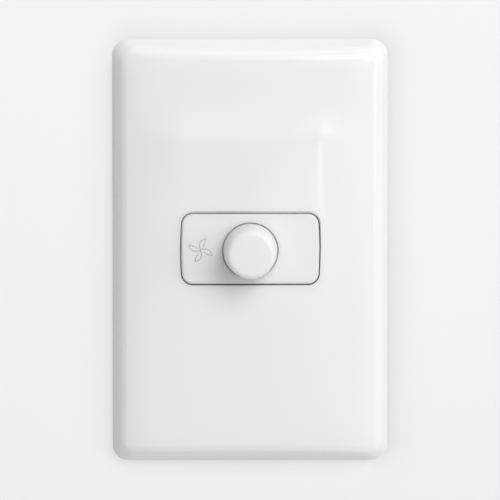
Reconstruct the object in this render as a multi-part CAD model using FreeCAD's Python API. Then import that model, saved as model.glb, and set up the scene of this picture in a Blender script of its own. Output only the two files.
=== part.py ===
import FreeCAD, Part
import math
import os

os.makedirs("parts", exist_ok=True)

# Fan speed control switch, in millimetres.
# Bench axes: x to the right, y up the wall, z out of the wall, with the wall at z = 0.
# Each piece is turned to stand upright when it is saved: z becomes -Y and y becomes +Z.

# Wall plate outline and the crowned front
plate_width = 76.0
plate_height = 117.0
plate_corner = 4.4
side_draft_deg = 21.0
hull_top = 12.0
head_corner = 5.0
shoulder_round = 4.0
skin = 2.0
crown_height = 8.8
crown_radius_across = 620.0
crown_radius_along = 4000.0
roll_side_drop = 3.2
roll_side_reach = 4.1
roll_end_drop = 2.6
roll_end_reach = 2.7
front_grid_step = 1.6
front_margin = 3.6

# Raised pad on the front: nearly flat, with a crest that fades into the crown towards its foot
pad_top = 32.2
pad_foot = -25.5
pad_rise = 1.5
pad_half_width = 19.9
pad_flank = 11.5
pad_ramp = 12.0
pad_flatness = 0.8
crest_round = 1.1
foot_round = 0.12

# Window in the plate and the module that shows in it
window_width = 38.7
window_height = 20.1
window_lift = 0.45
window_bow = 0.47
window_corner = 3.3
window_bevel = 0.35
collar_wall = 1.4
module_rise = 0.8
fascia_gap = 0.22
fascia_wall = 1.6
fascia_front_wall = 1.8
fascia_sink = 0.35
fascia_edge_round = 0.8
flange_lip_side = 7.0
flange_lip_top = 5.0
flange_corner = 2.0
fascia_flange = 1.5

# Frame that is screwed to the wall
grid_front = 2.5
grid_thick = 1.5
grid_gap = 1.2
grid_corner = 3.0
grid_rim = 1.8
grid_rib = 1.2
rib_offset_x = 12.0
rib_offset_y = 22.0
screw_pitch = 84.0
screw_boss_radius = 5.0
screw_radius = 1.75
screw_neck_radius = 1.45
screw_length = 24.0
screw_tip = 1.0
screw_head_radius = 3.3
screw_head_height = 2.0
screw_seat = 1.1
screw_slot = 0.8
screw_clearance = 0.3

# Snap hooks of the wall plate
hook_x = 25.0
hook_y = 33.0
hook_width = 7.0
hook_thick = 1.6
hook_barb = 0.7
hook_play = 0.2
hook_foot = 0.1

# Latches of the frame, which hold the module's flanges
latch_width = 8.0
latch_thick = 1.2
latch_catch = 0.9
latch_catch_height = 1.0
latch_gap = 0.3
latch_play = 0.1

# Knob
knob_base_radius = 7.5
knob_front_radius = 6.6
knob_proud = 12.1
knob_lift = 0.4
recess_depth = 0.8
recess_gap = 0.3
knob_edge_round = 1.5
knob_dome = 0.2
knob_wall = 1.3
knob_front_wall = 1.8
knob_boss_radius = 4.7
knob_rib = 0.9
knob_rib_count = 6
knob_float = 0.5

# Rotary control
shaft_radius = 3.0
shaft_flat = 1.5
bush_clearance = 0.05
bush_radius = 4.0
bush_collar_radius = 5.2
bush_collar = 0.8
bush_end_thread = 0.7
slip_fit = 0.03
loose_fit = 0.2
nut_across_flats = 11.0
nut_height = 2.2
washer_radius = 5.8
washer_height = 0.5
washer_tooth = 0.8
washer_tooth_count = 12
pot_radius = 8.2
pot_depth = 7.4
pot_wall = 0.9
pot_front_wall = 1.2
track_thick = 1.2
rotor_radius = 6.3
rotor_thick = 2.0
turn_gap = 0.3
clip_radius = 4.9
clip_thick = 0.6
clip_groove = 0.45
spring_thick = 0.4
spring_width = 4.0
spring_length = 8.0
spring_play = 0.05
pin_radius = 0.4
pin_pitch = 5.0
pin_stub = 1.0

# Module case and the plate that carries the control
flange_thick = 2.0
case_step = 2.0
case_depth = 34.0
case_wall = 1.5
case_corner = 3.0
case_back_round = 1.5
case_post = 3.0
case_shelf = 1.0
case_shelf_width = 5.0
vent_count = 5
vent_width = 1.2
vent_length = 8.0
vent_pitch = 4.0
sink_thick = 1.5
inner_gap = 0.3

# Circuit board and what is soldered to it
board_thick = 1.6
board_gap = 0.4
lead_radius = 0.4
lead_play = 0.1
triac_width = 10.0
triac_height = 9.0
triac_thick = 3.2
triac_tab = 1.3
tab_height = 15.4
tab_hole_drop = 2.8
triac_drop = 0.1
triac_lead_pitch = 2.54
triac_lead_reach = 1.5
triac_gap = 0.4
rivet_radius = 1.5
rivet_head_radius = 2.4
rivet_head_height = 0.9
choke_side = 12.3
choke_drop = 7.0
choke_outer = 5.4
choke_inner = 3.0
choke_height = 4.5
winding_thick = 0.9
winding_turn_deg = 300.0
film_side = 14.3
film_drop = 4.8
film_width = 13.0
film_height = 6.0
film_depth = 11.0
timing_side = 9.2
timing_drop = 6.2
timing_width = 7.2
timing_height = 2.6
timing_depth = 6.0
trim_drop = 13.0
trim_radius = 3.2
trim_height = 3.0
trim_slot = 0.6
resistor_x = -6.5
resistor_y = -4.4
resistor_radius = 1.15
resistor_length = 6.3
resistor_pitch = 4.4
resistor_count = 2
diac_x = 5.0
diac_y = -8.2
diac_radius = 0.95
diac_length = 4.0
fuse_x = 6.0
fuse_y = -0.6
fuse_radius = 2.0
fuse_length = 9.0
lead_span = 1.6
lead_lift = 0.3
lead_end = 0.2

# Tunnel terminals for the wiring of the house
terminal_width = 7.0
terminal_depth = 7.0
terminal_reach = 8.0
terminal_bore = 1.8
terminal_stop = 1.5
terminal_bore_back = 3.9
clamp_radius = 1.6
clamp_head_radius = 2.6
clamp_head = 1.4
clamp_gap = 0.05
wire_hole_radius = 2.4
strap_width = 4.0
strap_thick = 0.8
strap_stub = 1.0

up = FreeCAD.Vector(0, 0, 1)
along_wall = FreeCAD.Vector(0, 1, 0)


def point(x, y, z):
    return FreeCAD.Vector(x, y, z)


def box(x, y, low, wide, high, deep):
    return Part.makeBox(wide, high, deep, point(x - wide / 2, y - high / 2, low))


def rod(x, y, low, radius, length):
    return Part.makeCylinder(radius, length, point(x, y, low), up)


def upright_edges(shape):
    found = []
    for edge in shape.Edges:
        span = edge.BoundBox
        if span.XLength < 1e-4 and span.YLength < 1e-4:
            found.append(edge)
    return found


def edges_at(shape, level):
    found = []
    for edge in shape.Edges:
        span = edge.BoundBox
        if abs(span.ZMin - level) < 1e-4 and abs(span.ZMax - level) < 1e-4:
            found.append(edge)
    return found


def rounded_block(wide, high, corner, low, top):
    block = box(0, 0, low, wide, high, top - low)
    return block.makeFillet(corner, upright_edges(block))


def foot_wire(block):
    low = block.BoundBox.ZMin
    base = [face for face in block.Faces if face.BoundBox.ZMax < low + 1e-4]
    return base[0].OuterWire


def ring(x, y, low, outer, inner, height):
    return rod(x, y, low, outer, height).cut(rod(x, y, low, inner, height))


def turned(corners):
    # A solid of revolution about the z axis from (radius, z) corners.
    outline = Part.makePolygon([point(r, 0, z) for r, z in corners + corners[:1]])
    return Part.Face(outline).revolve(point(0, 0, 0), up, 360)


def raised(shape):
    return shape.translated(point(0, module_rise, 0))


# The module's outline: straight top and bottom with ends that bow outward, grown all round by grow.
def bowed_block(grow, low, top):
    half_wide = window_width / 2 + grow
    half_high = window_height / 2 + grow
    end = half_wide - window_bow
    head = window_lift + half_high
    foot = window_lift - half_high
    top_left = point(-end, head, low)
    top_right = point(end, head, low)
    low_right = point(end, foot, low)
    low_left = point(-end, foot, low)
    sides = [
        Part.LineSegment(top_left, top_right),
        Part.Arc(top_right, point(half_wide, window_lift, low), low_right),
        Part.LineSegment(low_right, low_left),
        Part.Arc(low_left, point(-half_wide, window_lift, low), top_left),
    ]
    outline = Part.Wire([side.toShape() for side in sides])
    block = Part.Face(outline).extrude(point(0, 0, top - low))
    return block.makeFillet(window_corner + grow, upright_edges(block))


# Height of the plate's front: a crown whose edges roll away, and the raised pad.
def soft_over(distance, rounding):
    return (distance + math.sqrt(distance * distance + rounding * rounding)) / 2


def roll_away(distance, drop, reach):
    return drop * math.exp(-distance / reach)


def front_height(x, y):
    crown = crown_height - x * x / (2 * crown_radius_across) - y * y / (2 * crown_radius_along)
    crown -= roll_away(plate_width / 2 - abs(x), roll_side_drop, roll_side_reach)
    crown -= roll_away(plate_height / 2 - abs(y), roll_end_drop, roll_end_reach)
    rise = soft_over((y - pad_foot) / (pad_top - pad_foot), foot_round)
    flank = soft_over(1 - soft_over(abs(x) - pad_half_width, crest_round) / pad_flank, foot_round)
    ramp = soft_over(1 - soft_over(y - pad_top, crest_round) / pad_ramp, foot_round)
    hollow = pad_half_width ** 2 - min(abs(x), pad_half_width) ** 2
    level = pad_rise - pad_flatness * hollow / (2 * crown_radius_across)
    return crown + level * rise * flank * ramp ** 2


window_level = front_height(0, module_rise + window_lift)
fascia_front = window_level - fascia_sink
side_lean = math.tan(math.radians(side_draft_deg))


def sculpted_block(drop):
    across = math.ceil((plate_width / 2 + front_margin) / front_grid_step)
    along = math.ceil((plate_height / 2 + front_margin) / front_grid_step)
    rows = []
    for i in range(-across, across + 1):
        x = i * front_grid_step
        heights = []
        for j in range(-along, along + 1):
            y = j * front_grid_step
            heights.append(point(x, y, front_height(x, y) - drop))
        rows.append(heights)
    front = Part.BSplineSurface()
    front.interpolate(rows)
    return front.toShape().extrude(point(0, 0, -2 * hull_top))


# The plate's leaning sides, drawn in by inset all round.
def drafted_hull(inset):
    lean = side_lean * hull_top
    wires = []
    for level, drawn_in, corner in [(0, inset, plate_corner), (hull_top, inset + lean, head_corner)]:
        wide = plate_width - 2 * drawn_in
        high = plate_height - 2 * drawn_in
        slab = rounded_block(wide, high, max(corner - inset, corner / 4), level, level + 1)
        wires.append(foot_wire(slab))
    return Part.makeLoft(wires, True, True)


def snap_hook(x_side, y_side):
    top = front_height(hook_x, hook_y * y_side) - skin / 2
    catch = grid_front - grid_thick - hook_play / 2
    profile = [
        (-hook_thick / 2, hook_foot),
        (hook_thick / 4, hook_foot),
        (hook_thick / 2 + hook_barb, catch - hook_barb / 2),
        (hook_thick / 2 + hook_barb, catch),
        (hook_thick / 2, catch),
        (hook_thick / 2, top),
        (-hook_thick / 2, top),
    ]
    corners = [point(x_side * (hook_x + x), hook_y * y_side - hook_width / 2, z) for x, z in profile]
    face = Part.Face(Part.makePolygon(corners + corners[:1]))
    return face.extrude(point(0, hook_width, 0))


def make_surround():
    hull = drafted_hull(0).common(sculpted_block(0))
    curved = [face for face in hull.Faces if not isinstance(face.Surface, Part.Plane)]
    front = max(curved, key=lambda face: face.Area)
    hull = hull.makeFillet(shoulder_round, front.Edges)
    shell = hull.cut(drafted_hull(skin).common(sculpted_block(skin)))
    collar_top = window_level - skin / 2
    collar = raised(bowed_block(collar_wall, grid_front + inner_gap, collar_top))
    shell = shell.fuse(collar)
    shell = shell.cut(raised(bowed_block(0, 0, hull_top)))
    lip_low = foot_wire(bowed_block(0, window_level - window_bevel, hull_top))
    lip_high = foot_wire(bowed_block(2 * window_bevel, window_level + window_bevel, hull_top))
    shell = shell.cut(raised(Part.makeLoft([lip_low, lip_high], True, True)))
    for x_side in (-1, 1):
        for y_side in (-1, 1):
            shell = shell.fuse(snap_hook(x_side, y_side))
    return shell.removeSplitter()


grid_back = grid_front - grid_thick
grid_inset = skin + side_lean * grid_front + grid_gap
grid_width = plate_width - 2 * grid_inset
grid_height = plate_height - 2 * grid_inset
flange_width = window_width + 2 * flange_lip_side
flange_height = window_height + 2 * flange_lip_top
flange_back = -fascia_flange - flange_thick


def latch_arm(side):
    root = flange_width / 2 + latch_gap
    foot = flange_back - latch_play - latch_catch_height
    profile = [
        (root, grid_front),
        (root, flange_back - latch_play),
        (root - latch_catch, flange_back - latch_play),
        (root, foot),
        (root + latch_thick, foot),
        (root + latch_thick, grid_front),
    ]
    corners = [point(side * x, module_rise - latch_width / 2, z) for x, z in profile]
    face = Part.Face(Part.makePolygon(corners + corners[:1]))
    return face.extrude(point(0, latch_width, 0))


def make_grid_plate():
    plate = rounded_block(grid_width, grid_height, grid_corner, 0, grid_front)
    hollow_width = grid_width - 2 * grid_rim
    hollow_height = grid_height - 2 * grid_rim
    hollow = rounded_block(hollow_width, hollow_height, grid_corner / 2, 0, grid_back)
    ribs = raised(bowed_block(grid_rim, 0, grid_back))
    for side in (-1, 1):
        ribs = ribs.fuse(box(side * rib_offset_x, 0, 0, grid_rib, grid_height - grid_rim, grid_back))
        ribs = ribs.fuse(box(0, side * rib_offset_y, 0, grid_width - grid_rim, grid_rib, grid_back))
        ribs = ribs.fuse(rod(0, side * screw_pitch / 2, 0, screw_boss_radius, grid_back))
    plate = plate.cut(hollow).fuse(ribs)
    for side in (-1, 1):
        plate = plate.fuse(latch_arm(side))
    plate = plate.cut(raised(bowed_block(0, 0, grid_front)))
    for side in (-1, 1):
        y = side * screw_pitch / 2
        plate = plate.cut(rod(0, y, 0, screw_radius + screw_clearance, grid_front))
        plate = plate.cut(rod(0, y, screw_seat, screw_head_radius + screw_clearance, grid_front))
        for x_side in (-1, 1):
            inner = hook_x - hook_thick / 2 - hook_barb - hook_play
            outer = hook_x + hook_thick / 2 + hook_play
            slot_x = x_side * (inner + outer) / 2
            slot_height = hook_width + 2 * hook_play
            plate = plate.cut(box(slot_x, side * hook_y, 0, outer - inner, slot_height, grid_front))
    return plate.removeSplitter()


def make_mounting_screws():
    screws = []
    for side in (-1, 1):
        y = side * screw_pitch / 2
        head = rod(0, y, screw_seat, screw_head_radius, screw_head_height)
        head = head.makeChamfer(screw_head_height / 3, edges_at(head, screw_seat + screw_head_height))
        slot_low = screw_seat + screw_head_height / 2
        slot = box(0, y, slot_low, 2 * screw_head_radius, screw_slot, screw_head_height)
        thread = rod(0, y, -screw_length, screw_radius, screw_length)
        thread = thread.makeChamfer(screw_tip, edges_at(thread, -screw_length))
        neck = rod(0, y, 0, screw_neck_radius, screw_seat)
        screws.append(head.cut(slot).fuse([neck, thread]))
    return Part.makeCompound(screws)


recess_floor = fascia_front - recess_depth
knob_bottom = recess_floor + knob_lift
knob_front = fascia_front + knob_proud
shaft_end = knob_front - knob_front_wall


# Module pieces are drawn about the knob's axis and raised to their place when saved.
def make_module_fascia():
    outer = bowed_block(-fascia_gap, -fascia_flange, fascia_front)
    outer = outer.makeFillet(fascia_edge_round, edges_at(outer, fascia_front))
    flange = rounded_block(flange_width, flange_height, flange_corner, -fascia_flange, 0)
    hollow = bowed_block(-fascia_gap - fascia_wall, -fascia_flange, fascia_front - fascia_front_wall)
    fascia = outer.fuse(flange).cut(hollow)
    rivet_room = rivet_head_radius + inner_gap
    fascia = fascia.cut(rod(triac_x, rivet_y, -fascia_flange, rivet_room, rivet_head_height + inner_gap))
    fascia = fascia.cut(rod(0, 0, 0, shaft_radius + turn_gap, hull_top))
    fascia = fascia.cut(rod(0, 0, recess_floor, knob_base_radius + recess_gap, hull_top))
    return fascia.removeSplitter()


def make_knob():
    tall = knob_front - knob_bottom
    side_fall = (knob_base_radius - knob_front_radius) / tall
    half = knob_front_radius
    dome_radius = (half * half + knob_dome * knob_dome) / (2 * knob_dome)
    dome_turn = math.asin(half / dome_radius) / 2
    dome_fall = dome_radius * (1 - math.cos(dome_turn))
    outline = Part.Wire([
        Part.makeLine(point(0, 0, knob_bottom), point(knob_base_radius, 0, knob_bottom)),
        Part.makeLine(point(knob_base_radius, 0, knob_bottom), point(half, 0, knob_front - knob_dome)),
        Part.Arc(
            point(half, 0, knob_front - knob_dome),
            point(dome_radius * math.sin(dome_turn), 0, knob_front - dome_fall),
            point(0, 0, knob_front),
        ).toShape(),
        Part.makeLine(point(0, 0, knob_front), point(0, 0, knob_bottom)),
    ])
    body = Part.Face(outline).revolve(point(0, 0, 0), up, 360)
    body = body.makeFillet(knob_edge_round, edges_at(body, knob_front - knob_dome))
    roof = shaft_end
    inner_base = knob_base_radius - knob_wall
    inner_front = inner_base - side_fall * (roof - knob_bottom)
    hollow = Part.makeCone(inner_base, inner_front, roof - knob_bottom, point(0, 0, knob_bottom), up)
    boss = rod(0, 0, knob_bottom, knob_boss_radius, roof - knob_bottom)
    keep = boss
    for i in range(knob_rib_count):
        rib = box(inner_base / 2, 0, knob_bottom + knob_float, inner_base, knob_rib, roof - knob_bottom)
        rib.rotate(point(0, 0, 0), up, 360 * i / knob_rib_count)
        keep = keep.fuse(rib.common(hollow))
    body = body.cut(hollow.cut(keep))
    bore = rod(0, 0, knob_bottom, shaft_radius + slip_fit, roof - knob_bottom)
    flat_at = shaft_flat + spring_thick + 2 * spring_play
    land = box(0, flat_at + shaft_radius, knob_bottom, 4 * shaft_radius, 2 * shaft_radius, roof - knob_bottom)
    return body.cut(bore.cut(land)).removeSplitter()


def make_knob_spring():
    mid = shaft_flat + spring_play + spring_thick / 2
    return box(0, mid, shaft_end - spring_length - knob_float, spring_width, spring_thick, spring_length)


sink_front = -fascia_flange
sink_back = sink_front - sink_thick
washer_front = sink_front + washer_height
nut_front = washer_front + nut_height
bush_end = nut_front + bush_end_thread
case_front_inside = sink_back - pot_front_wall
collar_back = case_front_inside - bush_collar
rotor_front = collar_back - turn_gap
rotor_back = rotor_front - rotor_thick
track_front = sink_back - pot_depth
track_back = track_front - track_thick
clip_low = bush_end + turn_gap


def make_pot_bush():
    bore = shaft_radius + bush_clearance
    return turned([
        (bore, collar_back),
        (bush_collar_radius, collar_back),
        (bush_collar_radius, case_front_inside),
        (bush_radius, case_front_inside),
        (bush_radius, bush_end),
        (bore, bush_end),
    ])


def make_pot_nut():
    corner = nut_across_flats / math.sqrt(3)
    start = point(corner, 0, washer_front)
    turns = [FreeCAD.Rotation(up, 60 * i) for i in range(7)]
    outline = Part.makePolygon([turn.multVec(start) for turn in turns])
    nut = Part.Face(outline).extrude(point(0, 0, nut_height))
    dressed = Part.makeCone(corner, nut_across_flats / 2, nut_height, point(0, 0, washer_front), up)
    crown = rod(0, 0, washer_front, corner, nut_height / 2)
    nut = nut.common(dressed.fuse(crown))
    return nut.cut(rod(0, 0, washer_front, bush_radius + slip_fit, nut_height))


def make_lock_washer():
    washer = ring(0, 0, sink_front, washer_radius, bush_radius + loose_fit, washer_height)
    for i in range(washer_tooth_count):
        notch = box(washer_radius, 0, sink_front, 2 * washer_tooth, washer_tooth, washer_height)
        notch.rotate(point(0, 0, 0), up, 360 * i / washer_tooth_count)
        washer = washer.cut(notch)
    return washer


def make_pot_case():
    cup = rod(0, 0, track_front, pot_radius, pot_depth)
    cup = cup.makeChamfer(pot_wall / 2, edges_at(cup, sink_back))
    cup = cup.cut(rod(0, 0, track_front, pot_radius - pot_wall, pot_depth - pot_front_wall))
    return cup.cut(rod(0, 0, track_front, bush_radius + slip_fit, pot_depth))


board_front = track_back - board_gap
board_back = board_front - board_thick
pin_y = -(pot_radius - 2 * pin_radius - pot_wall)


pin_sites = [(i * pin_pitch / 2, pin_y + abs(i)) for i in (-1, 0, 1)]


def make_pot_pins():
    low = board_back - pin_stub
    return Part.makeCompound([rod(x, y, low, pin_radius, track_back - low) for x, y in pin_sites])


def make_pot_shaft():
    shaft = rod(0, 0, rotor_back, shaft_radius, shaft_end - rotor_back)
    flat_low = clip_low + clip_thick + turn_gap
    flat_y = shaft_flat + shaft_radius
    flat = box(0, flat_y, flat_low, 4 * shaft_radius, 2 * shaft_radius, shaft_end - flat_low)
    groove_height = clip_thick + 2 * spring_play
    groove = ring(0, 0, clip_low - spring_play, 2 * shaft_radius, shaft_radius - clip_groove, groove_height)
    return shaft.cut(flat).cut(groove)


def make_pot_rotor():
    disc = rod(0, 0, rotor_back, rotor_radius, rotor_thick)
    disc = disc.makeChamfer(rotor_thick / 4, edges_at(disc, rotor_front))
    return disc.cut(rod(0, 0, rotor_back, shaft_radius + slip_fit, rotor_thick))


def make_wiper_contact():
    # A sprung metal ring under the rotor, with two arms that reach down to the track.
    sheet = spring_thick / 2
    reach = rotor_back - sheet - (track_front + turn_gap / 2)
    outer = rotor_radius - rotor_thick / 4
    contact = ring(0, 0, rotor_back - sheet, outer, shaft_radius, sheet)
    for side in (-1, 1):
        arm_x = side * (outer - clip_thick)
        arm = box(arm_x, 0, rotor_back - sheet - reach, clip_thick, spring_width / 2, reach)
        contact = contact.fuse(arm)
    return contact.removeSplitter()


def make_shaft_clip():
    inner = shaft_radius - clip_groove + slip_fit
    clip = ring(0, 0, clip_low, clip_radius, inner, clip_thick)
    mouth = box(0, -clip_radius, clip_low, 2 * inner - clip_groove, 2 * clip_radius, clip_thick)
    return clip.cut(mouth)


case_width = flange_width - 2 * case_step
case_height = flange_height - 2 * case_step
inner_width = case_width - 2 * case_wall
inner_height = case_height - 2 * case_wall
inner_corner = case_corner - case_wall
floor = case_wall - case_depth


def make_module_housing():
    outer = rounded_block(case_width, case_height, case_corner, -case_depth, -fascia_flange)
    outer = outer.makeFillet(case_back_round, edges_at(outer, -case_depth))
    flange = rounded_block(flange_width, flange_height, flange_corner, flange_back, -fascia_flange)
    hollow = rounded_block(inner_width, inner_height, inner_corner, floor, -fascia_flange)
    keep = []
    for x_side in (-1, 1):
        shelf_x = x_side * (inner_width - case_shelf) / 2
        keep.append(box(shelf_x, 0, floor, case_shelf, case_shelf_width, board_back - floor))
        for y_side in (-1, 1):
            post_x = x_side * (inner_width - case_post) / 2
            post_y = y_side * (inner_height - case_post) / 2
            keep.append(box(post_x, post_y, floor, case_post, case_post, sink_back - floor))
    for post in keep:
        hollow = hollow.cut(post)
    case = outer.fuse(flange).cut(hollow)
    for x_side in (-1, 1):
        x = x_side * terminal_x
        mouth = point(x, -case_height / 2 - case_wall / 2, bore_z)
        case = case.cut(Part.makeCylinder(wire_hole_radius, 2 * case_wall, mouth, along_wall))
        case = case.cut(rod(x, terminal_y, -case_depth, clamp_head_radius + inner_gap, case_wall))
    for i in range(vent_count):
        vent_x = (i - (vent_count - 1) / 2) * vent_pitch
        vent_z = (floor + board_back) / 2 - vent_length / 2
        case = case.cut(box(vent_x, case_height / 2, vent_z, vent_width, 4 * case_wall, vent_length))
    return case.removeSplitter()


triac_x = pot_radius + triac_gap + triac_width / 2
tab_top = tab_height / 2 - triac_drop
rivet_y = tab_top - tab_hole_drop
triac_foot = tab_top - tab_height
tab_back = sink_back - triac_tab


def make_heat_sink_plate():
    wide = inner_width - 2 * inner_gap
    high = inner_height - 2 * inner_gap
    plate = rounded_block(wide, high, inner_corner, sink_back, sink_front)
    plate = plate.cut(rod(0, 0, sink_back, bush_radius + loose_fit, sink_thick))
    return plate.cut(rod(triac_x, rivet_y, sink_back, rivet_radius + slip_fit, sink_thick))


lead_y = triac_foot - triac_lead_reach
lead_z = tab_back - triac_thick / 2
triac_lead_x = [triac_x + i * triac_lead_pitch for i in (-1, 0, 1)]


def make_triac_body():
    low = tab_back - triac_thick
    middle_y = triac_foot + triac_height / 2
    body = box(triac_x, middle_y, low, triac_width, triac_height, triac_thick)
    return body.makeChamfer(triac_thick / 8, edges_at(body, low))


def make_triac_tab():
    tab = box(triac_x, tab_top - tab_height / 2, tab_back, triac_width, tab_height, triac_tab)
    return tab.cut(rod(triac_x, rivet_y, tab_back, rivet_radius + slip_fit, triac_tab))


def make_triac_rivet():
    shank = rod(triac_x, rivet_y, tab_back, rivet_radius, sink_front - tab_back)
    rivet = shank
    for low in (tab_back - rivet_head_height, sink_front):
        rivet = rivet.fuse(rod(triac_x, rivet_y, low, rivet_head_radius, rivet_head_height))
    return rivet.removeSplitter()


def make_triac_leads():
    leads = []
    for x in triac_lead_x:
        out = Part.makeCylinder(lead_radius, triac_lead_reach, point(x, lead_y, lead_z), along_wall)
        low = board_back - pin_stub
        back = rod(x, lead_y, low, lead_radius, lead_z + lead_radius - low)
        leads.append(out.fuse(back))
    return Part.makeCompound(leads)


choke_x = choke_side - inner_width / 2
choke_y = inner_height / 2 - choke_drop
winding_outer = choke_outer + winding_thick
choke_top = board_back
choke_low = choke_top - choke_height - 2 * winding_thick


def make_choke_core():
    return ring(choke_x, choke_y, choke_low + winding_thick, choke_outer, choke_inner, choke_height)


def make_choke_winding():
    inner = choke_inner - winding_thick
    outline = Part.makePolygon([
        point(inner, 0, choke_low),
        point(winding_outer, 0, choke_low),
        point(winding_outer, 0, choke_top),
        point(inner, 0, choke_top),
        point(inner, 0, choke_low),
    ])
    wound = Part.Face(outline).revolve(point(0, 0, 0), up, winding_turn_deg)
    return wound.translated(point(choke_x, choke_y, 0)).cut(make_choke_core())


def make_choke_tails():
    reach = winding_outer + lead_radius
    tails = []
    for angle in (0, winding_turn_deg):
        x = choke_x + reach * math.cos(math.radians(angle))
        y = choke_y + reach * math.sin(math.radians(angle))
        low = choke_low + winding_thick
        tails.append(rod(x, y, low, lead_radius, board_front + lead_end - low))
    return Part.makeCompound(tails)


film_x = inner_width / 2 - film_side
film_y = inner_height / 2 - film_drop


def make_film_capacitor():
    block = box(film_x, film_y, board_back - film_depth, film_width, film_height, film_depth)
    return block.makeFillet(film_height / 10, upright_edges(block))


left_x = timing_side - inner_width / 2
timing_y = inner_height / 2 - timing_drop
trim_y = inner_height / 2 - trim_drop


def make_timing_capacitor():
    block = box(left_x, timing_y, board_front, timing_width, timing_height, timing_depth)
    return block.makeFillet(timing_height / 8, upright_edges(block))


def make_trim_pot():
    drum = rod(left_x, trim_y, board_front, trim_radius, trim_height)
    slot = box(left_x, trim_y, board_front + trim_height - trim_slot, 2 * trim_radius, trim_slot, trim_slot)
    return drum.cut(slot)


# A round component lying along x behind the board, with a lead at each end.
def axial_part(x, y, radius, length):
    middle = board_back - lead_lift - radius
    along = point(1, 0, 0)
    body = Part.makeCylinder(radius, length, point(x - length / 2, y, middle), along)
    bend = length / 2 + lead_span
    wire = Part.makeCylinder(lead_radius, 2 * bend, point(x - bend, y, middle), along)
    leads = [wire]
    low = middle - lead_radius
    for side in (-1, 1):
        leads.append(rod(x + side * bend, y, low, lead_radius, board_front + lead_end - low))
    return body.fuse(leads).removeSplitter()


resistor_rows = [resistor_y - i * resistor_pitch for i in range(resistor_count)]
axial_sites = [(resistor_x, y, resistor_length) for y in resistor_rows]
axial_sites += [(diac_x, diac_y, diac_length), (fuse_x, fuse_y, fuse_length)]


def make_resistors():
    bodies = [axial_part(resistor_x, y, resistor_radius, resistor_length) for y in resistor_rows]
    return Part.makeCompound(bodies)


terminal_x = inner_width / 2 - case_post - inner_gap - terminal_width / 2
terminal_low_y = -inner_height / 2 + inner_gap
terminal_y = terminal_low_y + terminal_reach / 2
terminal_front = floor + terminal_depth
bore_z = floor + terminal_bore_back


def make_terminals():
    blocks = []
    for side in (-1, 1):
        x = side * terminal_x
        block = box(x, terminal_y, floor, terminal_width, terminal_reach, terminal_depth)
        block = block.makeChamfer(terminal_width / 14, upright_edges(block))
        bore_length = terminal_reach - terminal_stop
        mouth = point(x, terminal_low_y, bore_z)
        block = block.cut(Part.makeCylinder(terminal_bore, bore_length, mouth, along_wall))
        blocks.append(block.cut(rod(x, terminal_y, floor, clamp_radius + slip_fit, terminal_bore_back)))
    return Part.makeCompound(blocks)


def make_terminal_screws():
    tip = terminal_bore_back - terminal_bore - clamp_gap
    screws = []
    for side in (-1, 1):
        x = side * terminal_x
        head = rod(x, terminal_y, floor - clamp_head, clamp_head_radius, clamp_head)
        slot = box(x, terminal_y, floor - clamp_head, 2 * clamp_head_radius, screw_slot, clamp_head / 2)
        screws.append(head.cut(slot).fuse(rod(x, terminal_y, floor, clamp_radius, tip)))
    return Part.makeCompound(screws)


def make_terminal_straps():
    length = board_front + strap_stub - terminal_front
    straps = []
    for side in (-1, 1):
        straps.append(box(side * terminal_x, terminal_y, terminal_front, strap_width, strap_thick, length))
    return Part.makeCompound(straps)


def make_circuit_board():
    wide = inner_width - 2 * inner_gap
    high = inner_height - 2 * inner_gap
    board = box(0, 0, board_back, wide, high, board_thick)
    notch = 2 * (case_post + inner_gap)
    for x in (-inner_width / 2, inner_width / 2):
        for y in (-inner_height / 2, inner_height / 2):
            board = board.cut(box(x, y, board_back, notch, notch, board_thick))
    holes = [(x, y, pin_radius) for x, y in pin_sites]
    holes += [(x, lead_y, lead_radius) for x in triac_lead_x]
    for x, y, length in axial_sites:
        bend = length / 2 + lead_span
        holes += [(x - bend, y, lead_radius), (x + bend, y, lead_radius)]
    tail = winding_outer + lead_radius
    for angle in (0, winding_turn_deg):
        turn = math.radians(angle)
        holes.append((choke_x + tail * math.cos(turn), choke_y + tail * math.sin(turn), lead_radius))
    for x, y, radius in holes:
        board = board.cut(rod(x, y, board_back, radius + lead_play, board_thick))
    for side in (-1, 1):
        wide = strap_width + 2 * lead_play
        deep = strap_thick + 2 * lead_play
        board = board.cut(box(side * terminal_x, terminal_y, board_back, wide, deep, board_thick))
    return board


def save(name, shape):
    standing = shape.copy()
    standing.rotate(point(0, 0, 0), point(1, 0, 0), 90)
    standing.exportStep("parts/" + name + ".step")


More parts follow.
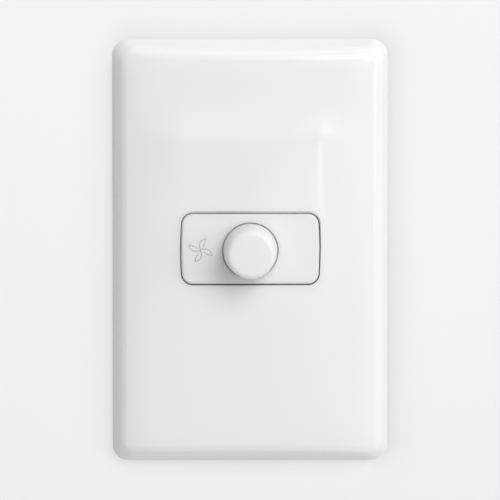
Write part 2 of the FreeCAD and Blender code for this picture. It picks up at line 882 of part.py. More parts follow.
wall_pieces = {
    "surround": make_surround(),
    "grid_plate": make_grid_plate(),
    "mounting_screws": make_mounting_screws(),
}
module_pieces = {
    "module_fascia": make_module_fascia(),
    "module_housing": make_module_housing(),
    "heat_sink_plate": make_heat_sink_plate(),
    "knob": make_knob(),
    "knob_spring": make_knob_spring(),
    "pot_shaft": make_pot_shaft(),
    "pot_rotor": make_pot_rotor(),
    "wiper_contact": make_wiper_contact(),
    "shaft_clip": make_shaft_clip(),
    "pot_bush": make_pot_bush(),
    "pot_nut": make_pot_nut(),
    "pot_lock_washer": make_lock_washer(),
    "pot_case": make_pot_case(),
    "pot_track": rod(0, 0, track_back, pot_radius, track_thick),
    "pot_pins": make_pot_pins(),
    "circuit_board": make_circuit_board(),
    "triac_body": make_triac_body(),
    "triac_tab": make_triac_tab(),
    "triac_rivet": make_triac_rivet(),
    "triac_leads": make_triac_leads(),
    "choke_core": make_choke_core(),
    "choke_winding": make_choke_winding(),
    "choke_tails": make_choke_tails(),
    "film_capacitor": make_film_capacitor(),
    "timing_capacitor": make_timing_capacitor(),
    "trim_pot": make_trim_pot(),
    "resistors": make_resistors(),
    "diac": axial_part(diac_x, diac_y, diac_radius, diac_length),
    "thermal_fuse": axial_part(fuse_x, fuse_y, fuse_radius, fuse_length),
    "terminals": make_terminals(),
    "terminal_screws": make_terminal_screws(),
    "terminal_straps": make_terminal_straps(),
}

for piece in wall_pieces:
    save(piece, wall_pieces[piece])
for piece in module_pieces:
    save(piece, raised(module_pieces[piece]))
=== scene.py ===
import math
import bmesh
import bpy
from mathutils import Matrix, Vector


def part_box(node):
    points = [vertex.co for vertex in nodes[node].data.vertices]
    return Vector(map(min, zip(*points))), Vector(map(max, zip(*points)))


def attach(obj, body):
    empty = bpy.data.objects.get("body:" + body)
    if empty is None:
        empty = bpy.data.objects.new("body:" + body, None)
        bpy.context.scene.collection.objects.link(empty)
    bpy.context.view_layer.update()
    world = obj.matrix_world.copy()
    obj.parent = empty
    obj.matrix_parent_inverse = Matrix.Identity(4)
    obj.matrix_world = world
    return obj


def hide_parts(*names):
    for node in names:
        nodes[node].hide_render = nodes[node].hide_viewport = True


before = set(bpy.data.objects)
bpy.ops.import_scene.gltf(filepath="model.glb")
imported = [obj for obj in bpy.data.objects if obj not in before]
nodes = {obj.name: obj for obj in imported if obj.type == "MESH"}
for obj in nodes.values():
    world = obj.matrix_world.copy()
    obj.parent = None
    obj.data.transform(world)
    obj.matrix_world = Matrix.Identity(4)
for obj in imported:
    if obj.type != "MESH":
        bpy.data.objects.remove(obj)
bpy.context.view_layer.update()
scene = bpy.context.scene
wallUnit = "wall_unit"
mm = 0.001
black = (0.0, 0.0, 0.0, 1.0)
white = (1.0, 1.0, 1.0, 1.0)
print("frame loaded:", len(nodes), "nodes")


# one socket of a node tree, so that shader maths reads as plain sums
class Wire:
    def __init__(self, tree, socket=None):
        self.tree = tree
        self.socket = socket

    def put(self, target, value):
        if isinstance(value, Wire):
            self.tree.links.new(value.socket, target)
        else:
            target.default_value = value

    # any node: its type, the settings that come first, then its inputs by name or number
    def node(self, kind, settings=None, inputs=None, out=0):
        made = self.tree.nodes.new("ShaderNode" + kind)
        for name, value in (settings or {}).items():
            setattr(made, name, value)
        for name, value in (inputs or {}).items():
            self.put(made.inputs[name], value)
        return Wire(self.tree, made.outputs[out])

    def maths(self, operation, a, b=0.0):
        return self.node("Math", {"operation": operation}, {0: a, 1: b})

    def __add__(self, other):
        return self.maths("ADD", self, other)

    def __radd__(self, other):
        return self.maths("ADD", other, self)

    def __sub__(self, other):
        return self.maths("SUBTRACT", self, other)

    def __rsub__(self, other):
        return self.maths("SUBTRACT", other, self)

    def __mul__(self, other):
        return self.maths("MULTIPLY", self, other)

    def __rmul__(self, other):
        return self.maths("MULTIPLY", other, self)

    def __truediv__(self, other):
        return self.maths("DIVIDE", self, other)

    def __rtruediv__(self, other):
        return self.maths("DIVIDE", other, self)

    def __abs__(self):
        return self.maths("ABSOLUTE", self)

    def over(self, low):
        return self.maths("MAXIMUM", self, low)

    def root(self):
        return self.maths("SQRT", self)

    def above(self, level):
        return self.maths("GREATER_THAN", self, level)

    def fade(self, reach):
        return self.maths("EXPONENT", self * (-1 / reach))

    # noise runs from 0 to 1, so this swings evenly to both sides of zero
    def swing(self, amount):
        return (self - 0.5) * amount

    # this value as the share of the second colour
    def blend(self, first, second):
        return self.node("Mix", {"data_type": "RGBA"}, {0: self, 6: first, 7: second}, 2)

    # one colour between a darker and a lighter shade of it
    def tint(self, colour, shades):
        return self.blend(solid(colour, shades[0]), solid(colour, shades[1]))

    def place(self):
        return self.node("TexCoord", out="Object")

    def noise(self, size, detail=2.0, stretch=(1.0, 1.0, 1.0)):
        spread = tuple(s / size for s in stretch)
        scaled = self.node("VectorMath", {"operation": "MULTIPLY"}, {0: self.place(), 1: spread})
        return self.node("TexNoise", {}, {"Vector": scaled, "Scale": 1.0, "Detail": detail})

    def along(self, axis):
        return self.node("SeparateXYZ", {}, {0: self.place()}, axis)

    def bump(self, height):
        return self.node("Bump", {}, {"Strength": 1.0, "Distance": 1.0, "Height": height})


def solid(colour, share=1.0):
    return tuple(c * share for c in colour) + (1.0,)


def middleOf(node):
    low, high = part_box(node)
    return (low + high) / 2


def newFinish(name, **plain):
    material = bpy.data.materials.new(name)
    material.use_nodes = True
    shader = material.node_tree.nodes["Principled BSDF"]
    for socket, value in plain.items():
        shader.inputs[socket.replace("_", " ")].default_value = value
    return material, shader, Wire(material.node_tree)


# moulded plastic: a faint cloud in the colour, orange peel and fine grain in the surface; sizes in mm
mouldLook = {"ior": 1.49, "cloudSize": 18.0, "cloudShare": 0.7,
             "roughLeast": 0.8, "roughGrain": 0.3, "roughCloud": 0.1}


def mouldedPlastic(name, look):
    material, shader, w = newFinish(name, IOR=mouldLook["ior"])
    cloud = w.noise(mouldLook["cloudSize"] * mm, detail=3.0)
    peel = w.noise(look["peel"] * mm, detail=1.0)
    grain = w.noise(look["grain"] * mm, detail=3.0)
    flow = cloud * mouldLook["cloudShare"] + grain * (1 - mouldLook["cloudShare"])
    colour = flow.tint(look["colour"], (1 - look["cloud"], 1 + look["cloud"]))
    # a finish with painted shade is darkened towards black as far as its shade reaches
    if "shade" in look:
        colour = look["shade"](w).blend(colour, black)
    w.put(shader.inputs["Base Color"], colour)
    wear = mouldLook["roughLeast"] + grain * mouldLook["roughGrain"] + cloud * mouldLook["roughCloud"]
    w.put(shader.inputs["Roughness"], look["rough"] * wear)
    height = peel * (look["peelDepth"] * mm) + grain * (look["grainDepth"] * mm)
    w.put(shader.inputs["Normal"], w.bump(height))
    return material


# metal: drawn or turned streaks, stains in the plating, fine scratches in the gloss; sizes in mm
metalLook = {"lineSize": 0.5, "stainSize": 2.5, "shades": (0.82, 1.06), "roughLines": 0.25, "roughStain": 0.1}


def workedMetal(name, look):
    material, shader, w = newFinish(name, Metallic=1.0)
    lines = w.noise(metalLook["lineSize"] * mm, detail=3.0, stretch=look["drawn"])
    stain = w.noise(metalLook["stainSize"] * mm, detail=4.0)
    w.put(shader.inputs["Base Color"], stain.tint(look["colour"], metalLook["shades"]))
    rough = look["rough"] + lines.swing(metalLook["roughLines"]) + stain.swing(metalLook["roughStain"])
    w.put(shader.inputs["Roughness"], rough)
    w.put(shader.inputs["Normal"], w.bump(lines * (look["depth"] * mm)))
    return material


# fired, pressed or dipped parts: grains of two shades with a bumpy skin; the sag is as many times deeper
skinLook = {"sagSize": 3.0, "sagDepth": 2.0, "roughSpeck": 0.2}


def grainySkin(name, look):
    material, shader, w = newFinish(name)
    speck = w.noise(look["speck"] * mm, detail=4.0)
    sag = w.noise(skinLook["sagSize"] * mm)
    depth = look["depth"] * mm
    w.put(shader.inputs["Base Color"], speck.blend(solid(look["dark"]), solid(look["light"])))
    w.put(shader.inputs["Roughness"], look["rough"] + speck.swing(skinLook["roughSpeck"]))
    w.put(shader.inputs["Normal"], w.bump(speck * depth + sag * (skinLook["sagDepth"] * depth)))
    return material


# painted shade in the seam round the module's window and in the ring round the knob, darkest close to both
seamLook = {"half": (19.35 * mm, 10.05 * mm), "corner": 3.3 * mm, "rise": 1.25 * mm,
            "reach": 0.7 * mm, "depth": 0.14,
            "axis": 0.8 * mm, "ring": 7.8 * mm, "ringReach": 0.9 * mm, "ringDepth": 0.17}


def seamShade(w):
    corner = seamLook["corner"]
    overX = abs(w.along("X")) - (seamLook["half"][0] - corner)
    overZ = abs(w.along("Z") - seamLook["rise"]) - (seamLook["half"][1] - corner)
    outX = overX.over(0.0)
    outZ = overZ.over(0.0)
    inside = w.maths("MINIMUM", overX.over(overZ), 0.0)
    away = abs((outX * outX + outZ * outZ).root() + inside - corner)
    upX = w.along("X")
    upZ = w.along("Z") - seamLook["axis"]
    ring = abs((upX * upX + upZ * upZ).root() - seamLook["ring"])
    seamPaintedShade = away.fade(seamLook["reach"]) * seamLook["depth"]
    return seamPaintedShade + ring.fade(seamLook["ringReach"]) * seamLook["ringDepth"]


# painted shade at the foot of the knob, darker close to the fascia
footLook = {"reach": 2.0 * mm, "depth": 0.12}


def footShade(w):
    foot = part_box("knob")[1][1]
    return (foot - w.along("Y")).over(0.0).fade(footLook["reach"]) * footLook["depth"]


# the finishes by name; peel, grain, specks and depths in mm
plastics = {
    "whitePlate": {"colour": (0.842, 0.842, 0.842), "rough": 0.2, "cloud": 0.008, "shade": seamShade,
                   "peel": 2.2, "peelDepth": 0.0012, "grain": 0.3, "grainDepth": 0.0004},
    # the fascia is the plate's white painted a shade darker, as painted shade against the extra sheen it
    # catches from the strip lamp
    "whiteFascia": {"colour": (0.815, 0.815, 0.815), "rough": 0.2, "cloud": 0.008, "shade": seamShade,
                    "peel": 1.8, "peelDepth": 0.001, "grain": 0.3, "grainDepth": 0.0006},
    "whiteKnob": {"colour": (0.812, 0.812, 0.812), "rough": 0.56, "cloud": 0.008, "shade": footShade,
                  "peel": 1.6, "peelDepth": 0.001, "grain": 0.25, "grainDepth": 0.0012},
    "whiteFrame": {"colour": (0.78, 0.78, 0.755), "rough": 0.5, "cloud": 0.03,
                   "peel": 3.0, "peelDepth": 0.004, "grain": 0.35, "grainDepth": 0.003},
    "caseBlack": {"colour": (0.05, 0.05, 0.055), "rough": 0.5, "cloud": 0.12,
                  "peel": 1.2, "peelDepth": 0.004, "grain": 0.22, "grainDepth": 0.006},
    "rotorPlastic": {"colour": (0.62, 0.6, 0.55), "rough": 0.42, "cloud": 0.04,
                     "peel": 1.5, "peelDepth": 0.003, "grain": 0.3, "grainDepth": 0.002},
    "mouldingBlack": {"colour": (0.03, 0.03, 0.032), "rough": 0.6, "cloud": 0.15,
                      "peel": 0.8, "peelDepth": 0.003, "grain": 0.15, "grainDepth": 0.005},
    "trimBlue": {"colour": (0.06, 0.2, 0.5), "rough": 0.42, "cloud": 0.06,
                 "peel": 1.0, "peelDepth": 0.002, "grain": 0.2, "grainDepth": 0.002},
}
metals = {
    "zincSteel": {"colour": (0.62, 0.63, 0.64), "rough": 0.33, "drawn": (1.0, 0.1, 1.0), "depth": 0.004},
    "millAluminium": {"colour": (0.75, 0.76, 0.77), "rough": 0.38, "drawn": (0.06, 1.0, 1.0), "depth": 0.005},
    "springSteel": {"colour": (0.5, 0.5, 0.52), "rough": 0.28, "drawn": (1.0, 1.0, 0.08), "depth": 0.003},
    "nickelBrass": {"colour": (0.7, 0.69, 0.64), "rough": 0.26, "drawn": (0.3, 1.5, 0.3), "depth": 0.003},
    "springBronze": {"colour": (0.66, 0.45, 0.28), "rough": 0.3, "drawn": (0.1, 1.0, 1.0), "depth": 0.003},
    "tinnedLead": {"colour": (0.68, 0.68, 0.68), "rough": 0.36, "drawn": (1.0, 0.2, 1.0), "depth": 0.006},
    "brass": {"colour": (0.75, 0.58, 0.28), "rough": 0.3, "drawn": (0.3, 0.3, 1.5), "depth": 0.004},
    "copper": {"colour": (0.62, 0.25, 0.1), "rough": 0.32, "drawn": (0.4, 0.4, 0.4), "depth": 0.002},
}
skins = {
    "ferrite": {"dark": (0.035, 0.035, 0.037), "light": (0.085, 0.082, 0.08),
                "speck": 0.25, "rough": 0.7, "depth": 0.01},
    "capacitorYellow": {"dark": (0.62, 0.42, 0.06), "light": (0.74, 0.53, 0.1),
                        "speck": 0.6, "rough": 0.35, "depth": 0.004},
    "capacitorRed": {"dark": (0.36, 0.07, 0.03), "light": (0.47, 0.11, 0.05),
                     "speck": 0.5, "rough": 0.3, "depth": 0.006},
    "fuseWhite": {"dark": (0.7, 0.69, 0.65), "light": (0.8, 0.79, 0.76),
                  "speck": 0.3, "rough": 0.5, "depth": 0.004},
}
finish = {name: mouldedPlastic(name, look) for name, look in plastics.items()}
finish.update({name: workedMetal(name, look) for name, look in metals.items()})
finish.update({name: grainySkin(name, look) for name, look in skins.items()})
print("plain finishes made:", len(finish))

# pressed board: woven glass under green lacquer, paler where the lacquer is thin
boardLook = {"dark": (0.03, 0.12, 0.05), "light": (0.06, 0.2, 0.08), "weave": 0.6 * mm, "relief": 0.25,
             "weaveShare": 0.6, "patch": 4.0 * mm, "rough": 0.35, "roughWeave": 0.15, "depth": 0.006 * mm}


def makeBoardFinish():
    material, shader, w = newFinish("boardGreen")
    turns = 2 * math.pi / boardLook["weave"]
    warp = w.maths("SINE", w.along("X") * turns)
    weft = w.maths("SINE", w.along("Z") * turns)
    weave = warp * weft * boardLook["relief"] + 0.5
    patch = w.noise(boardLook["patch"], detail=3.0)
    thin = weave * boardLook["weaveShare"] + patch * (1 - boardLook["weaveShare"])
    w.put(shader.inputs["Base Color"], thin.blend(solid(boardLook["dark"]), solid(boardLook["light"])))
    w.put(shader.inputs["Roughness"], boardLook["rough"] + weave * boardLook["roughWeave"])
    w.put(shader.inputs["Normal"], w.bump(weave * boardLook["depth"]))
    return material


# resistors and diac: a lacquered body with colour bands, and tinned leads at its ends;
# places along the body run from -1 to 1
bandLooks = {
    "resistors": {"body": (0.68, 0.52, 0.36), "lead": 0.63, "width": 0.1,
                  "bands": [(-0.5, (0.25, 0.1, 0.04)), (-0.28, (0.03, 0.03, 0.03)),
                            (-0.06, (0.8, 0.32, 0.05)), (0.36, (0.65, 0.48, 0.16))]},
    "diac": {"body": (0.1, 0.22, 0.5), "lead": 0.5, "width": 0.12, "bands": [(0.28, (0.04, 0.05, 0.08))]},
}
lacquerLook = {"cloudSize": 1.5 * mm, "shades": (0.9, 1.08), "tin": (0.66, 0.66, 0.65),
               "rough": 0.32, "grain": 0.4 * mm, "roughGrain": 0.12}


def makeBandedFinish(node, look):
    material, shader, w = newFinish(node + "Banded")
    low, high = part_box(node)
    out = (w.along("X") - middleOf(node).x) / ((high.x - low.x) / 2)
    colour = w.noise(lacquerLook["cloudSize"]).tint(look["body"], lacquerLook["shades"])
    for start, band in look["bands"]:
        inside = out.above(start) - out.above(start + look["width"])
        colour = inside.blend(colour, solid(band))
    lead = abs(out).above(look["lead"])
    grain = w.noise(lacquerLook["grain"], detail=3.0)
    w.put(shader.inputs["Base Color"], lead.blend(colour, solid(lacquerLook["tin"])))
    w.put(shader.inputs["Metallic"], lead)
    w.put(shader.inputs["Roughness"], lacquerLook["rough"] + grain * lacquerLook["roughGrain"])
    return material


# carbon track: a dark ring printed on brown phenolic card
trackLook = {"card": (0.42, 0.24, 0.1), "shades": (0.8, 1.2), "fibre": 0.6 * mm, "lay": (1.0, 1.0, 0.25),
             "carbon": (0.03, 0.03, 0.03), "inner": 4.6 * mm, "outer": 7.0 * mm,
             "rough": 0.55, "carbonGloss": 0.15, "roughFibre": 0.1}


def makeTrackFinish():
    material, shader, w = newFinish("carbonTrack")
    middle = middleOf("pot_track")
    across = w.along("X") - middle.x
    along = w.along("Z") - middle.z
    radius = (across * across + along * along).root()
    ring = radius.above(trackLook["inner"]) - radius.above(trackLook["outer"])
    fibre = w.noise(trackLook["fibre"], detail=4.0, stretch=trackLook["lay"])
    card = fibre.tint(trackLook["card"], trackLook["shades"])
    w.put(shader.inputs["Base Color"], ring.blend(card, solid(trackLook["carbon"])))
    rough = trackLook["rough"] - ring * trackLook["carbonGloss"] + fibre.swing(trackLook["roughFibre"])
    w.put(shader.inputs["Roughness"], rough)
    return material


finish["board"] = makeBoardFinish()
finish["track"] = makeTrackFinish()
for node, look in bandLooks.items():
    finish[node] = makeBandedFinish(node, look)

# what each node is made of
wears = {
    "whitePlate": ["surround"],
    "whiteFascia": ["module_fascia"],
    "whiteKnob": ["knob"],
    "whiteFrame": ["grid_plate"],
    "caseBlack": ["module_housing"],
    "zincSteel": ["mounting_screws", "pot_nut", "pot_case"],
    "millAluminium": ["heat_sink_plate", "triac_rivet"],
    "springSteel": ["knob_spring", "shaft_clip", "pot_lock_washer"],
    "nickelBrass": ["pot_shaft", "pot_bush"],
    "rotorPlastic": ["pot_rotor"],
    "springBronze": ["wiper_contact"],
    "tinnedLead": ["pot_pins", "triac_tab", "triac_leads"],
    "mouldingBlack": ["triac_body"],
    "trimBlue": ["trim_pot"],
    "brass": ["terminals", "terminal_screws", "terminal_straps"],
    "ferrite": ["choke_core"],
    "copper": ["choke_winding", "choke_tails"],
    "capacitorYellow": ["film_capacitor"],
    "capacitorRed": ["timing_capacitor"],
    "fuseWhite": ["thermal_fuse"],
    "board": ["circuit_board"],
    "track": ["pot_track"],
    "resistors": ["resistors"],
    "diac": ["diac"],
}
for name, wearers in wears.items():
    for wearer in wearers:
        nodes[wearer].data.materials.clear()
        nodes[wearer].data.materials.append(finish[name])
print("finishes on", sum(len(wearers) for wearers in wears.values()), "nodes")

# the knob's dome is shaded afresh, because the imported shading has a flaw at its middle
domeLook = {"join": 0.002 * mm, "crease": 35.0}
knob = nodes["knob"]
knob.modifiers.new("joinSeams", "WELD").merge_threshold = domeLook["join"]
knob.modifiers.new("keepCreases", "EDGE_SPLIT").split_angle = math.radians(domeLook["crease"])
knob.modifiers.new("evenShade", "WEIGHTED_NORMAL")
print("knob shaded")


# faces between rows of points; rings close on themselves and get a cap at both ends
def joinRows(build, rows, rings):
    count = len(rows[0])
    for first, second in zip(rows, rows[1:]):
        for i in range(count if rings else count - 1):
            j = (i + 1) % count
            build.faces.new((first[i], first[j], second[j], second[i]))
    if rings:
        build.faces.new(rows[0])
        build.faces.new(rows[-1])


def newPiece(name, build, material, body):
    bmesh.ops.recalc_face_normals(build, faces=build.faces)
    mesh = bpy.data.meshes.new(name)
    build.to_mesh(mesh)
    build.free()
    piece = bpy.data.objects.new(name, mesh)
    scene.collection.objects.link(piece)
    mesh.materials.append(material)
    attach(piece, body)
    return piece


# fan sign printed on the fascia: four blades drawn as thin ink lines; sizes in mm
fanSign = {"centre": (-13.75, 0.95), "blades": 4, "line": 0.3, "ink": 0.012, "shoulder": 0.8, "steps": 14,
           "leading": [(0.0, 0.0), (-0.55, 1.15), (-0.55, 2.75), (1.5, 3.2)],
           "trailing": [(1.5, 3.2), (1.32, 2.3), (1.1, 1.55), (0.5, 0.9)],
           "colour": (0.5, 0.5, 0.51), "shades": (0.9, 1.12), "speck": 0.25, "rough": 0.45, "roughSpeck": 0.2}


def curvePoint(corners, t):
    weights = [(1 - t) ** 3, 3 * t * (1 - t) ** 2, 3 * t * t * (1 - t), t ** 3]
    return Vector([sum(w * c[i] for w, c in zip(weights, corners)) for i in (0, 1)])


def turned(point, angle):
    across = point.x * math.cos(angle) - point.y * math.sin(angle)
    up = point.x * math.sin(angle) + point.y * math.cos(angle)
    return Vector((across, up))


def makeInk():
    material, shader, w = newFinish("greyInk")
    speck = w.noise(fanSign["speck"] * mm, detail=3.0)
    w.put(shader.inputs["Base Color"], speck.tint(fanSign["colour"], fanSign["shades"]))
    w.put(shader.inputs["Roughness"], fanSign["rough"] + speck.swing(fanSign["roughSpeck"]))
    return material


def makeFanSign():
    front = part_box("module_fascia")[0][1]
    steps = fanSign["steps"]
    blade = [curvePoint(fanSign["leading"], i / steps) for i in range(steps + 1)]
    blade += [curvePoint(fanSign["trailing"], i / steps) for i in range(1, steps + 1)]
    # the line's section: its two feet on the fascia and the flat top between its shoulders
    shoulder = fanSign["shoulder"]
    section = [(1.0, 0.0), (shoulder, 1.0), (-shoulder, 1.0), (-1.0, 0.0)]
    build = bmesh.new()
    for number in range(fanSign["blades"]):
        path = [turned(point, -2 * math.pi * number / fanSign["blades"]) for point in blade]
        rows = []
        for i, point in enumerate(path):
            ahead = path[min(i + 1, len(path) - 1)] - path[max(i - 1, 0)]
            side = Vector((-ahead.y, ahead.x)).normalized() * fanSign["line"] / 2
            row = []
            for share, depth in section:
                at = (point + side * share + Vector(fanSign["centre"])) * mm
                row.append(build.verts.new((at.x, front - depth * fanSign["ink"] * mm, at.y)))
            rows.append(row)
        joinRows(build, rows, rings=False)
    sign = newPiece("fan_sign", build, makeInk(), wallUnit)
    sign.data.shade_smooth()


makeFanSign()
print("fan sign printed")

# mounting screws: rolled thread, plain neck, slotted head; sizes in mm,
# the crown as shares of the head's height and radius
screwLook = {"outer": 1.75, "pitch": 0.6, "thread": 0.3, "around": 28, "perTurn": 8,
             "head": 3.3, "headTall": 2.0, "seat": 1.1, "neck": 1.45, "tip": 1.0, "tipLeast": 0.45,
             "crown": [(0.0, 0.35), (0.0, 0.62), (0.06, 0.8), (0.2, 0.93), (0.42, 1.0), (1.0, 1.0)],
             "slotWide": 0.8, "slotDeep": 0.9, "crease": 40.0}


# a ring about a screw; where there is a thread, its ridge climbs one pitch a turn
def screwRing(build, middle, y, radius, thread=0.0):
    ring = []
    for i in range(screwLook["around"]):
        share = i / screwLook["around"]
        angle = 2 * math.pi * share
        phase = (y / screwLook["pitch"] - share) % 1.0
        r = radius - thread * abs(1 - 2 * phase)
        ring.append(build.verts.new((r * math.cos(angle) * mm, y * mm, (middle + r * math.sin(angle)) * mm)))
    return ring


def makeScrew(build, middle, top, end):
    look = screwLook
    rings = []
    # head, from its crown down to its seat, then the plain neck
    for share, wide in look["crown"]:
        rings.append(screwRing(build, middle, top + look["headTall"] * share, look["head"] * wide))
    for y in (-look["seat"], 0.0):
        rings.append(screwRing(build, middle, y, look["neck"]))
    # the thread runs out at the tip
    rows = int(end / look["pitch"] * look["perTurn"])
    for row in range(rows + 1):
        y = end * row / rows
        taper = min(1.0, (end - y) / look["tip"] * (1 - look["tipLeast"]) + look["tipLeast"])
        rings.append(screwRing(build, middle, y, look["outer"] * taper, look["thread"] * taper))
    joinRows(build, rings, rings=True)


# driver slots cut across both heads
def cutSlots(piece, cut):
    mesh = bpy.data.meshes.new("slotCut")
    cut.to_mesh(mesh)
    cut.free()
    cutter = bpy.data.objects.new("slotCut", mesh)
    scene.collection.objects.link(cutter)
    carve = piece.modifiers.new("slots", "BOOLEAN")
    carve.operation = "DIFFERENCE"
    carve.object = cutter
    carve.solver = "EXACT"
    bpy.context.view_layer.update()
    shown = piece.evaluated_get(bpy.context.evaluated_depsgraph_get())
    carved = bpy.data.meshes.new_from_object(shown)
    piece.modifiers.clear()
    piece.data = carved
    bpy.data.objects.remove(cutter)
    carved.shade_smooth()
    carved.set_sharp_from_angle(angle=math.radians(screwLook["crease"]))


def makeScrews():
    low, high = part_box("mounting_screws")
    middle = (high[2] - low[2]) / 2 / mm - screwLook["head"]
    top = -screwLook["seat"] - screwLook["headTall"]
    slotHalf = Vector((2 * screwLook["head"], screwLook["slotDeep"], screwLook["slotWide"] / 2))
    build = bmesh.new()
    cut = bmesh.new()
    for side in (-1, 1):
        makeScrew(build, side * middle, top, high[1] / mm)
        for v in bmesh.ops.create_cube(cut, size=2.0)["verts"]:
            v.co = (v.co * slotHalf + Vector((0.0, top, side * middle))) * mm
    piece = newPiece("mount_screws", build, finish["zincSteel"], wallUnit)
    cutSlots(piece, cut)
    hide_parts("mounting_screws")


makeScrews()
print("screws threaded")

# choke: one layer of enamelled wire wound round the ring core, from one tail to the other; sizes in mm
coilLook = {"turns": 15, "sweep": 300.0, "bore": 3.0, "wire": 0.42, "sides": 8,
            "bends": 4, "bendShare": 0.1, "tailGap": 0.4}


# one turn about the core's section, as (radius, depth, share of the turn), bent round the core's four edges
def coilTurn(inner, outer, front, back, gap):
    edges = [(outer, back), (inner, back), (inner, front), (outer, front)]
    turn = []
    for corner, (radius, depth) in enumerate(edges):
        for bend in range(coilLook["bends"] + 1):
            part = bend / coilLook["bends"]
            angle = (corner + part) * math.pi / 2
            share = corner / len(edges) + part * coilLook["bendShare"]
            turn.append((radius + gap * math.cos(angle), depth + gap * math.sin(angle), share))
    return turn


# the wire's middle line: up from the first tail, round the core, and straight out to the second tail
def coilPath():
    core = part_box("choke_core")
    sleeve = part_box("choke_winding")
    middle = middleOf("choke_core") / mm
    front = core[0][1] / mm
    back = core[1][1] / mm
    outer = (core[1][0] - core[0][0]) / 2 / mm
    gap = (sleeve[1][1] - core[1][1]) / mm / 2
    tail = outer + 2 * gap + coilLook["tailGap"]
    turn = coilTurn(coilLook["bore"], outer, front, back, gap)
    route = [(tail, back - gap, 0.0)]
    for lap in range(coilLook["turns"]):
        route += [(radius, depth, lap + share) for radius, depth, share in turn]
    route = route[:-coilLook["bends"]]
    route.append((tail, front - gap, coilLook["turns"]))
    path = []
    for radius, depth, laps in route:
        angle = math.radians(coilLook["sweep"]) * laps / coilLook["turns"]
        across = Vector((math.cos(angle), 0.0, math.sin(angle))) * radius
        path.append(across + Vector((middle.x, depth, middle.z)))
    return path


def makeCoil():
    path = coilPath()
    build = bmesh.new()
    rings = []
    side = Vector((0.0, 0.0, 1.0))
    for i, point in enumerate(path):
        ahead = (path[min(i + 1, len(path) - 1)] - path[max(i - 1, 0)]).normalized()
        side = (side - ahead * side.dot(ahead)).normalized()
        third = ahead.cross(side)
        ring = []
        for step in range(coilLook["sides"]):
            angle = 2 * math.pi * step / coilLook["sides"]
            out = side * math.cos(angle) + third * math.sin(angle)
            ring.append(build.verts.new((point + out * coilLook["wire"]) * mm))
        rings.append(ring)
    joinRows(build, rings, rings=True)
    piece = newPiece("choke_wire", build, finish["copper"], wallUnit)
    piece.data.shade_smooth()
    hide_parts("choke_winding")


makeCoil()
print("choke wound")


def flatSheet(name, corners, faces):
    mesh = bpy.data.meshes.new(name)
    mesh.from_pydata(corners, [], faces)
    sheet = bpy.data.objects.new(name, mesh)
    scene.collection.objects.link(sheet)
    return sheet


# pale wall: it shows only from its front, it has an opening behind the plate as for a wall box,
# and its paint holds a painted shade next to the plate, above it and on its right
wallLook = {"colour": (0.9, 0.9, 0.9), "size": 3.0, "proud": 0.02 * mm,
            "plate": (38.0 * mm, 58.5 * mm), "corner": 5.0 * mm, "lap": 0.5 * mm, "steps": 6,
            "paintedShade": 0.2, "paintedShadeAbove": 0.75, "reach": 3.4 * mm, "least": 0.1 * mm,
            "climb": 80 * mm, "fall": 0.03, "patch": 0.3, "plain": 0.5, "rough": 0.9, "gloss": 0.2}


# half the plate's width and height, as far as the middles of its corners
def wallReach():
    return [side - wallLook["corner"] for side in wallLook["plate"]]


def makeWallSheet():
    half = wallLook["size"] / 2
    front = -wallLook["proud"]
    bend = wallLook["corner"] - wallLook["lap"]
    steps = wallLook["steps"]
    wide, tall = wallReach()
    rim = []
    opening = []
    for quarter, (x, z) in enumerate(((1, 1), (-1, 1), (-1, -1), (1, -1))):
        rim.append((x * half, front, z * half))
        for step in range(steps + 1):
            angle = (quarter + step / steps) * math.pi / 2
            opening.append((x * wide + bend * math.cos(angle), front, z * tall + bend * math.sin(angle)))
    count = steps + 1
    faces = []
    for quarter in range(4):
        after = (quarter + 1) % 4
        first = 4 + quarter * count
        faces += [(quarter, first + step + 1, first + step) for step in range(steps)]
        faces.append((quarter, after, 4 + after * count, first + steps))
    return flatSheet("wallBackdrop", rim + opening, faces)


def makeWallPaint():
    material, shader, w = newFinish("wallPaint", Roughness=wallLook["rough"],
                                    Specular_IOR_Level=wallLook["gloss"])
    wide, tall = wallReach()
    # distance from the plate's outline, a rounded rectangle, and which side of it this is
    overX = (abs(w.along("X")) - wide).over(0.0)
    overZ = (abs(w.along("Z")) - tall).over(0.0)
    away = ((overX * overX + overZ * overZ).root() - wallLook["corner"]).over(0.0)
    right = (w.along("X") - wide).over(0.0)
    above = (w.along("Z") - tall).over(0.0)
    side = (right + above * wallLook["paintedShadeAbove"]) / (overX + overZ).over(wallLook["least"])
    # painted shade next to the plate, strongest on its right and above it
    paintedShade = away.fade(wallLook["reach"]) * side * wallLook["paintedShade"]
    # a little paler towards the top
    climb = w.along("Z") / (2 * wallLook["climb"]) + w.noise(wallLook["patch"])
    paint = climb.tint(wallLook["colour"], (1 - wallLook["fall"], 1 + wallLook["fall"]))
    colour = paintedShade.blend(paint, black)
    w.put(shader.inputs["Base Color"], colour)
    # the camera sees half of the wall as an unlit glow of its colour, painted light that keeps the plate's
    # shadow faint
    plain = w.node("Emission", {}, {"Color": colour, "Strength": 1.0})
    seen = w.node("LightPath", out="Is Camera Ray") * wallLook["plain"]
    painted = w.node("MixShader", {}, {0: seen, 1: Wire(w.tree, shader.outputs[0]), 2: plain})
    behind = w.node("NewGeometry", out="Backfacing")
    mixed = w.node("MixShader", {}, {0: behind, 1: painted, 2: w.node("BsdfTransparent")})
    w.put(w.tree.nodes["Material Output"].inputs["Surface"], mixed)
    return material


floorLook = {"colour": (0.8, 0.8, 0.79), "shades": (0.97, 1.0), "patch": 0.2, "rough": 0.8,
             "drop": 2.8, "size": 5.0}


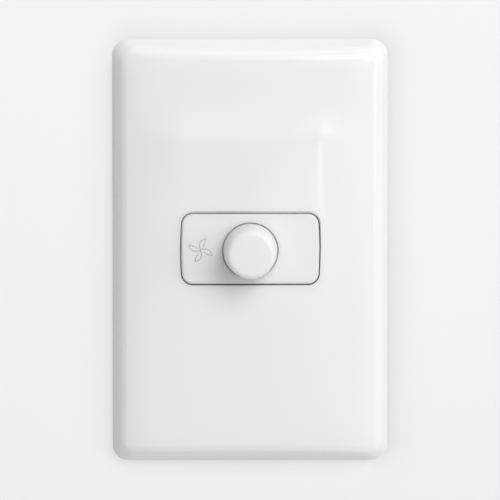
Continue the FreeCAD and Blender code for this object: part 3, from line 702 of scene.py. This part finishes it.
def makeFloor():
    half = floorLook["size"] / 2
    front = -floorLook["size"]
    drop = -floorLook["drop"]
    corners = [(-half, front, drop), (half, front, drop), (half, 0, drop), (-half, 0, drop)]
    sheet = flatSheet("paleFloor", corners, [(0, 1, 2, 3)])
    material, shader, w = newFinish("floorPaint", Roughness=floorLook["rough"])
    patch = w.noise(floorLook["patch"], detail=3.0)
    w.put(shader.inputs["Base Color"], patch.tint(floorLook["colour"], floorLook["shades"]))
    sheet.data.materials.append(material)


wall = makeWallSheet()
wall.data.materials.append(makeWallPaint())
makeFloor()
print("stage set")

# lamps: the way each stands from the plate, how far, its width and height, its power;
# the strip draws the bright line on the pad's right crest
lamps = {
    "key": {"from": (0.36, -0.79, 0.495), "away": 2.6, "wide": 1.5, "tall": 1.5, "watts": 37.0},
    "side": {"from": (0.82, -0.56, 0.14), "away": 2.6, "wide": 1.05, "tall": 1.05, "watts": 10.6},
    "top": {"from": (0.1, -0.16, 0.98), "away": 2.4, "wide": 1.6, "tall": 1.0, "watts": 5.0},
    "low": {"from": (0.25, -0.34, -0.91), "away": 1.7, "wide": 1.2, "tall": 0.9, "watts": 3.6},
    "back": {"from": (-0.5, 0.8, 0.4), "away": 1.2, "wide": 1.3, "tall": 1.3, "watts": 5.0},
    "strip": {"from": (0.2, -0.965, -0.06), "away": 0.311, "wide": 0.03, "tall": 0.05, "watts": 0.025},
}


# puts a lamp or the camera out along a line from the plate's middle, looking back at it
def standOff(name, data, way, away):
    placed = bpy.data.objects.new(name, data)
    aim = Vector(way).normalized()
    placed.location = aim * away
    placed.rotation_mode = "QUATERNION"
    placed.rotation_quaternion = aim.to_track_quat("Z", "Y")
    scene.collection.objects.link(placed)
    return placed


for name, look in lamps.items():
    data = bpy.data.lights.new(name, "AREA")
    data.shape = "RECTANGLE"
    data.size = look["wide"]
    data.size_y = look["tall"]
    data.energy = look["watts"]
    lamp = standOff(name, data, look["from"], look["away"])
    lamp.visible_camera = False

# soft room light; the camera and polished metal see a pale room
roomLook = {"light": 0.41, "seen": 0.86}
world = bpy.data.worlds.new("paleRoom")
scene.world = world
world.use_nodes = True
w = Wire(world.node_tree)
sky = world.node_tree.nodes["Background"]
sky.inputs["Strength"].default_value = roomLook["light"]
sky.inputs["Color"].default_value = white
pale = w.node("Background", {}, {"Color": white, "Strength": roomLook["seen"]})
path = w.node("LightPath").socket.node
seen = Wire(w.tree, path.outputs["Is Camera Ray"])
for ray in ("Is Glossy Ray", "Is Transmission Ray"):
    seen = seen.over(Wire(w.tree, path.outputs[ray]))
mixed = w.node("MixShader", {}, {0: seen, 1: Wire(w.tree, sky.outputs[0]), 2: pale})
w.put(world.node_tree.nodes["World Output"].inputs["Surface"], mixed)
print("lamps lit")

# camera: a long lens a little above the middle of the plate
cameraLook = {"lift": 6.3, "turn": -0.6, "away": 2.5, "frameWide": 138.2 * mm, "sensor": 36.0, "far": 20.0}
lens = bpy.data.cameras.new("camera")
lens.sensor_width = cameraLook["sensor"]
lens.lens = cameraLook["sensor"] * cameraLook["away"] / cameraLook["frameWide"]
lens.clip_end = cameraLook["far"]
lift = math.radians(cameraLook["lift"])
turn = math.radians(cameraLook["turn"])
back = (math.sin(turn) * math.cos(lift), -math.cos(turn) * math.cos(lift), math.sin(lift))
scene.camera = standOff("camera", lens, back, cameraLook["away"])
scene.view_settings.view_transform = "Standard"

print("scene done")
